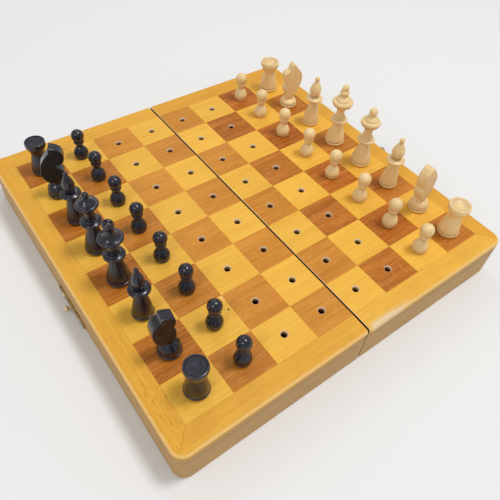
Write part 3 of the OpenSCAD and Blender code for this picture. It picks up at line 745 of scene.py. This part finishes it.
white_sawn = boxwood("boxwood_sawn", rgb(246, 218, 160), rgb(218, 178, 120), gloss=0.55, sawn=True)
brass_plate = brass("brass_plate", rgb(196, 168, 118), rgb(128, 106, 74), gloss=0.36)
brass_flap = brass("brass_flap", rgb(150, 128, 90), rgb(96, 80, 58), gloss=0.4)
screw_metal = brass("screw_metal", rgb(232, 212, 172), rgb(176, 150, 108), gloss=0.2)


# Chess pieces


class Turning:
    """Profile of a turned piece from its foot up: radius, height, wear and darkness of each point."""

    def __init__(self, r, z):
        self.path = [(0.0, z, 0.0, 0.0), (r, z, 0.0, 0.0)]
        self.end_from = None

    @property
    def r(self):
        return self.path[-1][0]

    @property
    def z(self):
        return self.path[-1][1]

    def line(self, r, z, worn=0.0, dark=0.0):
        self.path.append((r, z, worn, dark))
        return self

    def lines(self, r, z, profile):
        """Straight stretches to points given from r and z, each with its wear and darkness."""
        for out, up, *marks in profile:
            self.line(r + out, z + up, *marks)
        return self

    def end_grain(self):
        """The surface from here on shows end grain."""
        self.end_from = len(self.path) - 1
        return self

    def bead(self, r, h, worn, steps=6):
        """Half-round ring of outer radius r from here up by h."""
        z = self.z
        for k in range(steps + 1):
            a = math.pi * (k / steps - 0.5)
            self.line(r - h / 2 + h / 2 * math.cos(a), z + h / 2 + h / 2 * math.sin(a), worn * math.cos(a) ** 4)
        return self

    def sweep(self, r, z, full=1.0, hollow=1.0, steps=12):
        """Curved side; it bulges low down as full rises over 1, and is hollow high up as hollow does."""
        r0, z0 = self.r, self.z
        for k in range(1, steps + 1):
            t = k / steps
            self.line(r0 + (r - r0) * (1 - (1 - t ** full) ** hollow), z0 + (z - z0) * t)
        return self

    def ball(self, r, z, start, steps):
        """Ball centred at height z, from the start angle to its top."""
        for k in range(steps + 1):
            a = math.radians(start + (90 - start) * k / steps)
            self.line(max(r * math.cos(a), 0.0), z + r * math.sin(a))
        return self


def lathe(shape, turning):
    """Turns a profile into a closed skin; a point on the axis becomes a single vertex."""
    turn = 360 - 360 / LATHE_STEPS
    rings = []
    for r, z, worn, dark in turning.path:
        if r < 1e-6:
            rings.append([shape.point(0, 0, z, worn, dark)])
        else:
            rings.append(shape.ring(arc(0, 0, r, 0, turn, LATHE_STEPS - 1), z, worn, dark))
    for j, (low, high) in enumerate(zip(rings, rings[1:])):
        slot = 2 if turning.end_from is not None and j >= turning.end_from else 0
        for i in range(LATHE_STEPS):
            k = (i + 1) % LATHE_STEPS
            if len(low) == 1:
                shape.face((low[0], high[k], high[i]), slot)
            elif len(high) == 1:
                shape.face((low[i], low[k], high[0]), slot)
            else:
                shape.face((low[i], low[k], high[k], high[i]), slot)


# Pegs, and the forms that most pieces share
PEG_R = 1.5
PEG_L = 5.0
PEG_TIP_R = PEG_R * 0.8
PEG_CHAMFER = 0.4
FOOT_H = 2.4
FOOT_TUCK = 0.7
FOOT_EDGE = 0.7
WAIST_R = 2.3
BRIM_R = 5.1
ROYAL_FOOT_R = 5.9
KNIGHT_FOOT_R = 5.5

# Profiles of small details: radius and height from where each starts, then wear and darkness
# On the black pieces the wear on a foot's top edge is partly a painted highlight
FOOT_EDGE_PROFILE = ((0.0, -0.65, 0.3), (-0.05, -0.42, 0.7), (-0.25, -0.26, 0.6), (-0.55, -0.18, 0.0, 0.9),
                     (-0.62, 0.0, 0.0, 1.0), (-0.5, 0.15, 0.0, 0.6), (-0.3, 0.3))
# The darkness of the pawn's foot at the board is painted shade
PAWN_FOOT = ((-0.95, 0.0, 0.0, 0.6), (-0.6, 0.25), (-0.38, 0.65), (-0.3, 1.05, 0.3), (-0.33, 1.25, 0.6),
             (-0.52, 1.4, 0.0, 0.9), (-0.42, 1.58, 0.0, 0.4), (-0.2, 1.85), (-0.05, 2.35), (0.0, 2.8))
EGG_CUP = ((1.65, 0.0), (2.0, 0.35), (2.35, 0.85), (2.65, 1.45), (2.85, 2.1), (2.92, 2.7), (2.84, 3.05, 0.3),
           (2.55, 3.3, 0.0, 0.4))
ROOK_RIM = ((-0.3, -3.2, 0.0, 0.5), (-0.05, -2.7), (0.0, -2.0), (-0.04, -0.6, 0.2), (-0.15, -0.2, 0.6),
            (-0.4, -0.01, 0.8))
# The darkness on the white rook's inner lip is painted shade of the bowl
WHITE_ROOK_LIP = ((-0.9, 0.0, 0.4), (-1.2, -0.12, 0.0, 0.2))
BLACK_ROOK_LIP = ((-0.8, -0.04, 0.4),)


def peg():
    """Peg with a chamfered tip, up to the surface of the board."""
    return Turning(PEG_TIP_R, -PEG_L).line(PEG_R, -PEG_L + PEG_CHAMFER).line(PEG_R, 0.0)


def foot(r):
    """Peg, and a foot that draws in towards the board under a rounded edge with a groove over it."""
    # The darkness at the bottom of the foot, where it draws in to the board, is painted shade
    t = peg().line(r - FOOT_TUCK, 0.0, 0.0, 0.6)
    t.sweep(r - 0.02, FOOT_H - FOOT_EDGE - 0.2, 0.6, steps=6)
    return t.lines(r, FOOT_H, FOOT_EDGE_PROFILE)


def collar(t):
    """Brim of a king, queen or bishop: hollow flare, thin rounded edge, low cone on top."""
    z = t.z
    t.sweep(BRIM_R - 0.8, z + 1.3, 1.6, steps=6)
    t.bead(BRIM_R, 1.5, 0.4)
    t.line(BRIM_R - 0.85, z + 2.9, 0.2)
    return t.sweep(WAIST_R + 1.0, z + 3.4, 1.0, 1.6, 6)


def pawn(h, r):
    """Bulb that draws in over a scored line, thin neck, and a ball in an egg cup."""
    head_r = 3.5
    head_z = h - head_r
    cup_z = head_z - 6.1
    neck_r = 1.5
    t = peg().lines(r, 0.0, PAWN_FOOT)
    t.sweep(neck_r, cup_z - 0.7, 1.9, 1.0, 16).line(neck_r, cup_z - 0.3, 0.0, 0.5)
    return t.lines(0.0, cup_z, EGG_CUP).ball(head_r, head_z, -45, 16)


def rook(h, r, white=False):
    """The head is a cup: a bowl with a thick lip in a white rook, a flat dish with rings in a black one."""
    head_r = 5.8 if white else 5.3
    t = foot(r)
    t.sweep(3.5, h - 6.9, 1.5, 1.4, 14)
    t.sweep(head_r - 0.5, h - 3.4, 0.9, steps=9)
    t.lines(head_r, h, ROOK_RIM)
    if white:
        t.lines(head_r, h, WHITE_ROOK_LIP)
        bowl_r = head_r - 1.35
        for k in range(11):
            share = 1 - k / 10
            # The darkness that fades from the bowl's rim to its middle is painted shade
            t.line(bowl_r * share, h - 0.3 - 1.2 * (1 - share ** 2.6), 0.0, 0.3 * share)
        return t
    t.lines(head_r, h, BLACK_ROOK_LIP).end_grain()
    dish_r = head_r - 0.95
    t.line(dish_r, h - 0.3, 0.0, 0.8)
    for k in range(1, 13):
        share = 1 - k / 12
        ripple = 0.06 if k % 2 else 0.0
        t.line(dish_r * share, h - 0.34 - 0.3 * (1 - share * share) - ripple, 0.0, 0.35 if k % 2 else 0.0)
    return t


def white_rook(h, r):
    return rook(h, r, True)


def bishop(h, r, mitre_r=3.0, ball=1.1):
    """Egg-shaped mitre on a short cup above the brim."""
    mitre_z = h - 2 * ball - 6.2
    cup_z = mitre_z - 3.8
    t = foot(r)
    t.sweep(WAIST_R, cup_z - 3.4, 1.4, 1.2, 14)
    collar(t)
    t.line(WAIST_R - 0.3, cup_z + 0.15, 0.0, 0.7).sweep(2.4, cup_z + 1.0, 0.9, steps=4)
    t.line(2.3, cup_z + 1.15, 0.0, 0.9)
    t.sweep(mitre_r, mitre_z, 0.6, steps=9)
    t.sweep(0.75, h - 2 * ball + 0.3, 1.8, steps=12)
    t.path[-1] = (t.r, t.z, 0.0, 0.6)
    return t.ball(ball, h - ball, -50, 10)


def white_bishop(h, r):
    return bishop(h, r, 3.5, 1.5)


def royal_body(z1, r, crown_r, edge_h):
    """Body, brim, rings and the crown's edge; the crown's top is at z1."""
    edge_z = z1 - 3.2 - edge_h
    neck_z = edge_z - 4.0
    step_z = neck_z - 2.4
    t = foot(r)
    t.sweep(WAIST_R, step_z - 5.6, 1.4, 1.2, 16)
    collar(t)
    t.line(3.3, t.z).bead(3.8, 0.9, 0.4).line(2.5, t.z + 0.05).bead(2.9, 0.8, 0.3)
    t.line(2.3, t.z).line(2.3, step_z)
    t.sweep(2.4, neck_z, 0.6, steps=5)
    t.sweep(crown_r - 0.6, edge_z + 0.2, 2.2, steps=12)
    return t.bead(crown_r, edge_h, 0.3, 10)


def thin_crown(z1, r, crown_r, top_r):
    """Crown of the black pieces: a thin edge and a shallow hollow cone."""
    t = royal_body(z1, r, crown_r, 1.8)
    t.line(crown_r - 1.3, z1 - 3.05)
    t.sweep(3.4, z1 - 2.3, 1.0, 1.0, 4)
    return t.sweep(top_r, z1, 1.0, 1.5, 9)


def thick_crown(z1, r, crown_r, top_r):
    """Crown of the white pieces: a thick round edge and a full dome."""
    t = royal_body(z1, r, crown_r, 3.0)
    return t.sweep(top_r, z1, 1.9, steps=12)


def black_queen(h, r):
    ball = 1.7
    t = thin_crown(h - 2 * ball + 0.4, r, 5.35, 1.2)
    return t.ball(ball, h - ball, -50, 12)


def white_queen(h, r):
    ball = 2.35
    t = thick_crown(h - 2 * ball + 0.4, r, 5.65, 1.5)
    return t.ball(ball, h - ball, -52, 12)


def white_king(h, r):
    ball = 2.0
    bulb_z = h - 2 * ball - 3.0
    t = thick_crown(bulb_z + 0.4, r, 6.1, 1.7)
    t.bead(2.7, 3.4, 0.0, 10)
    t.line(1.2, bulb_z + 3.5)
    return t.ball(ball, h - ball, -50, 10)


def black_king(h, r):
    bulb_z = h - 4.4
    t = thin_crown(bulb_z - 1.6, r, 5.75, 2.1)
    t.line(2.0, bulb_z)
    for k in range(1, 9):
        a = math.radians(-50 + 90 * k / 8)
        t.line(2.7 * math.cos(a), bulb_z + 2.4 + 2.4 * math.sin(a))
    for k in range(15):
        t.line(2.05 * (1 - k / 14), h - 0.5 * (1 - k / 14) ** 6)
    return t


def saw_cross(shape, h, width=0.9, deep=0.9):
    """Two crossing cuts in the top of the black king, with pale worn edges."""
    worn = shape.marks["worn"]
    for i, (x, y, z) in enumerate(shape.points):
        near = min(abs(x + y), abs(x - y)) / math.sqrt(2)
        if z > h - deep:
            if near < width / 2:
                shape.points[i] = (x, y, h - deep)
            elif near < width:
                worn[i] = 1.0


# Thickness of a knight's head, ripple that the saw left on its face and on its nape, and the share of the
# height of its dome at which a line is scored
KNIGHT_T = 5.4
FACE_RIPPLE = 0.03
NAPE_RIPPLE = 0.09
SCORED_SHARE = (0.3, 0.36)

# Of each knight: its turn in its hole, and the outline of its sawn head from the neck up the face to the
# ear and down the nape, in parts of its height: how far ahead of the axis and how high each point is.
# The last numbers say which points are sharp corners.
KNIGHTS = {
    "black_knight_near": (-8, [
        (0.04, 0.36), (0.08, 0.44), (0.1, 0.52), (0.1, 0.63), (0.075, 0.74), (0.1, 0.78), (0.11, 0.87),
        (0.095, 0.93), (0.0, 0.98), (-0.09, 1.0), (-0.11, 0.94), (-0.19, 0.875), (-0.24, 0.78), (-0.25, 0.65),
        (-0.225, 0.52), (-0.17, 0.41), (-0.1, 0.36)], (0, 4, 7, 9, 10, 16)),
    "black_knight_far": (-22, [
        (0.05, 0.31), (0.11, 0.345), (0.165, 0.42), (0.185, 0.49), (0.155, 0.56), (0.09, 0.62), (0.03, 0.655),
        (0.11, 0.665), (0.19, 0.7), (0.225, 0.77), (0.225, 0.85), (0.205, 0.91), (0.155, 0.955), (0.1, 0.98),
        (0.04, 1.0), (0.01, 0.905), (-0.07, 0.815), (-0.14, 0.71), (-0.17, 0.6), (-0.175, 0.49),
        (-0.14, 0.38), (-0.07, 0.31)], (0, 6, 14, 15, 21)),
    "white_knight_near": (4, [
        (0.08, 0.275), (0.155, 0.34), (0.215, 0.45), (0.225, 0.52), (0.195, 0.58), (0.25, 0.675), (0.265, 0.78),
        (0.24, 0.885), (0.18, 0.97), (0.12, 1.0), (0.07, 0.94), (-0.02, 0.83), (-0.09, 0.7), (-0.1, 0.6),
        (-0.09, 0.48), (-0.07, 0.35), (-0.06, 0.275)], (0, 4, 8, 9, 16)),
    "white_knight_far": (-20, [
        (0.06, 0.23), (0.11, 0.3), (0.145, 0.41), (0.135, 0.475), (0.095, 0.525), (0.15, 0.61), (0.17, 0.7),
        (0.155, 0.79), (0.06, 0.86), (0.02, 0.98), (-0.02, 1.0), (-0.1, 0.91), (-0.19, 0.8), (-0.215, 0.66),
        (-0.19, 0.53), (-0.15, 0.41), (-0.09, 0.29), (-0.06, 0.23)], (0, 4, 8, 10, 17)),
}


def knight_base(h, r, neck):
    """Low dome with a scored line and a short neck."""
    neck_r = KNIGHT_T / 2 - 0.4
    neck_z = neck * h
    dome_z = neck_z - 1.4
    t = foot(r)
    t.sweep(neck_r, dome_z, 2.8, steps=20)
    low, high = (FOOT_H + share * (dome_z - FOOT_H) for share in SCORED_SHARE)
    t.path = [(x - 0.15, z, 0.0, 0.7) if low < z < high else (x, z, *marks) for x, z, *marks in t.path]
    return t.line(neck_r, neck_z - 0.2).line(0.0, neck_z - 0.2)


def curve(points, steps=4):
    """Smooth curve through the points of an open line, without its last point."""
    full = [points[0]] + points + [points[-1]]
    result = []
    for a, b, c, d in zip(full, full[1:], full[2:], full[3:]):
        for k in range(steps):
            t = k / steps
            result.append(tuple(
                q + 0.5 * t * (r - p + t * (2 * p - 5 * q + 4 * r - s + t * (3 * (q - r) + s - p)))
                for p, q, r, s in zip(a, b, c, d)))
    return result


def knight_outline(h, points, corners):
    """Outline of a knight's head, smooth between its sharp corners, with the ripple of the saw on it."""
    points = [(x * h, z * h) for x, z in points]
    outline = []
    for first, last in zip(corners, corners[1:]):
        run = curve(points[first:last + 1])
        ripple = NAPE_RIPPLE if last == corners[-1] else FACE_RIPPLE
        outline += [(x + (ripple if k % 2 else 0.0), z) for k, (x, z) in enumerate(run)]
    outline.append(points[-1])
    return outline


def knight_head(shape, h, *form):
    """Head sawn out of a flat slab, its two side faces chamfered."""
    outline = knight_outline(h, *form)
    half = KNIGHT_T / 2
    chamfer = 0.2
    small = inset(outline, [1.0] * len(outline), chamfer)

    def side_ring(points, y, worn):
        return [shape.point(a, y, z, worn) for a, z in points]

    rings = [
        side_ring(small, -half, 0.6),
        side_ring(outline, -half + chamfer, 0.6),
        side_ring(outline, -half + 3 * chamfer, 0.0),
        side_ring(outline, half - 3 * chamfer, 0.0),
        side_ring(outline, half - chamfer, 0.6),
        side_ring(small, half, 0.6),
    ]
    for near, far in zip(rings, rings[1:]):
        shape.band(near, far)
    flat = inset(outline, [1.0] * len(outline), 0.4)
    for ring, y, front in ((rings[0], -half, True), (rings[-1], half, False)):
        middle = side_ring(flat, y, 0.0)
        if front:
            shape.band(middle, ring, 1)
            shape.face(reversed(middle), 1)
        else:
            shape.band(ring, middle, 1)
            shape.face(middle, 1)


TURNED = {
    "pawn": pawn, "black_rook": rook, "white_rook": white_rook, "black_bishop": bishop,
    "white_bishop": white_bishop, "black_queen": black_queen, "white_queen": white_queen,
    "black_king": black_king, "white_king": white_king,
}


def chess_piece(node, colour, kind, row):
    """A piece made to the size of its CAD node, on the middle of its square."""
    low, high = node_box(node)
    h = high.z - Board.top
    shape = Shape()
    shape.seed = chance.random() * 9
    materials = [black_stain, black_sawn, black_end] if colour == "black" else [white_wood, white_sawn, white_sawn]
    x = centre(f"{colour}_pawn_1" if kind == "pawn" else f"{colour}_rook_near").x
    place = (x, (ROWS[row] + ROWS[row + 1]) / 2, Board.top)
    turn = 0.0
    # The far black knight's sawn faces are painted darker as shade
    shape.tone = 1.0 if node == "black_knight_far" else 0.0
    if kind == "knight":
        turn, *form = KNIGHTS[node]
        turn += 0 if colour == "black" else 180
        lathe(shape, knight_base(h, KNIGHT_FOOT_R, form[0][0][1]))
        knight_head(shape, h, *form)
    else:
        turning = TURNED.get(kind) or TURNED[f"{colour}_{kind}"]
        lathe(shape, turning(h, ROYAL_FOOT_R if kind in ("king", "queen") else (high.x - low.x) / 2))
        if node == "black_king":
            saw_cross(shape, h)
    shape.build(f"{node}_turned", materials, node, node, place, turn, 50.0)


def chess_pieces():
    for colour, royals in (("black", ("king", "queen")), ("white", ("queen", "king"))):
        for kind, rows in (("rook", (0, 7)), ("knight", (1, 6)), ("bishop", (2, 5))):
            for end, row in zip(("near", "far"), rows):
                chess_piece(f"{colour}_{kind}_{end}", colour, kind, row)
        for kind, row in zip(royals, (3, 4)):
            chess_piece(f"{colour}_{kind}", colour, kind, row)
        for j in range(8):
            chess_piece(f"{colour}_pawn_{j + 1}", colour, "pawn", j)


# Studio


# Half the width of the floor
FLOOR_REACH = 1500.0
WORLD_LIGHT = 0.52

# Soft lamps: place and width in metres, and power in watts
LAMPS = {
    "key": ((0.4, -0.22, 1.4), 0.35, 9.0),
    "back": ((0.3, 0.8, 1.0), 0.5, 1.2),
    "fill": ((-0.8, -0.3, 0.9), 0.3, 2.2),
}


def dress(node, material):
    """Gives a CAD node that stays its finished material."""
    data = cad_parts[node].data
    data.materials.clear()
    data.materials.append(material)


def stage():
    """Pale floor on which the rims stand."""
    n = 12
    steps = [FLOOR_REACH * (2 * i / n - 1) * MM for i in range(n + 1)]
    points = [(x, y, 0.0) for y in steps for x in steps]
    corners = [k * (n + 1) + i for k in range(n) for i in range(n)]
    mesh = bpy.data.meshes.new("floor")
    mesh.from_pydata(points, [], [(a, a + 1, a + n + 2, a + n + 1) for a in corners])
    s = Shader("floor_paper")
    s.set(Base_Color=rgb(232, 232, 231), Roughness=0.8)
    mesh.materials.append(s.material)
    floor = bpy.data.objects.new("floor", mesh)
    bpy.context.scene.collection.objects.link(floor)


def lamp(name, place, size, power):
    """Round soft lamp that points at the board."""
    data = bpy.data.lights.new(name, "AREA")
    data.shape = "DISK"
    data.size = size
    data.energy = power
    light = bpy.data.objects.new(name, data)
    light.location = place
    light.rotation_euler = (-Vector(place)).to_track_quat("-Z", "Y").to_euler()
    bpy.context.scene.collection.objects.link(light)


def lighting():
    world = bpy.data.worlds.new("studio")
    world.use_nodes = True
    background = world.node_tree.nodes["Background"]
    background.inputs["Color"].default_value = (1, 1, 1, 1)
    background.inputs["Strength"].default_value = WORLD_LIGHT
    bpy.context.scene.world = world
    for name, settings in LAMPS.items():
        lamp(name, *settings)


def camera():
    data = bpy.data.cameras.new("camera")
    data.lens = CAMERA_LENS
    data.sensor_width = 36
    data.clip_start = 0.01
    view = bpy.data.objects.new("camera", data)
    ahead = CAMERA_AHEAD.normalized()
    right = (CAMERA_RIGHT - ahead * CAMERA_RIGHT.dot(ahead)).normalized()
    up = right.cross(ahead)
    turned = Matrix((right, up, -ahead)).transposed().to_4x4()
    view.matrix_world = Matrix.Translation(CAMERA_PLACE * MM) @ turned
    bpy.context.scene.collection.objects.link(view)
    bpy.context.scene.camera = view


for side, half in ((-1, "black_half"), (1, "white_half")):
    border(side, half, honey_along, honey_across)
    squares(side, half, True, brown)
    squares(side, half, False, honey)
    walls(side, half, wall_along, wall_across)
    dress(f"{half}_panel", panel)
    dress(f"{half}_inner_wall", wall_along)
    dress(f"{half}_hinge_leaves", brass_plate)
    dress(f"{half}_hinge_screws", screw_metal)

chess_pieces()
for node in ("hinge_pins", "stud_plate", "hasp_plate", "hasp_pin"):
    dress(node, brass_plate)
dress("hasp_flap", brass_flap)
for node in ("stud_screws", "hasp_screws", "ball_stud"):
    dress(node, screw_metal)

stage()
lighting()
camera()
bpy.context.scene.view_settings.view_transform = "Standard"
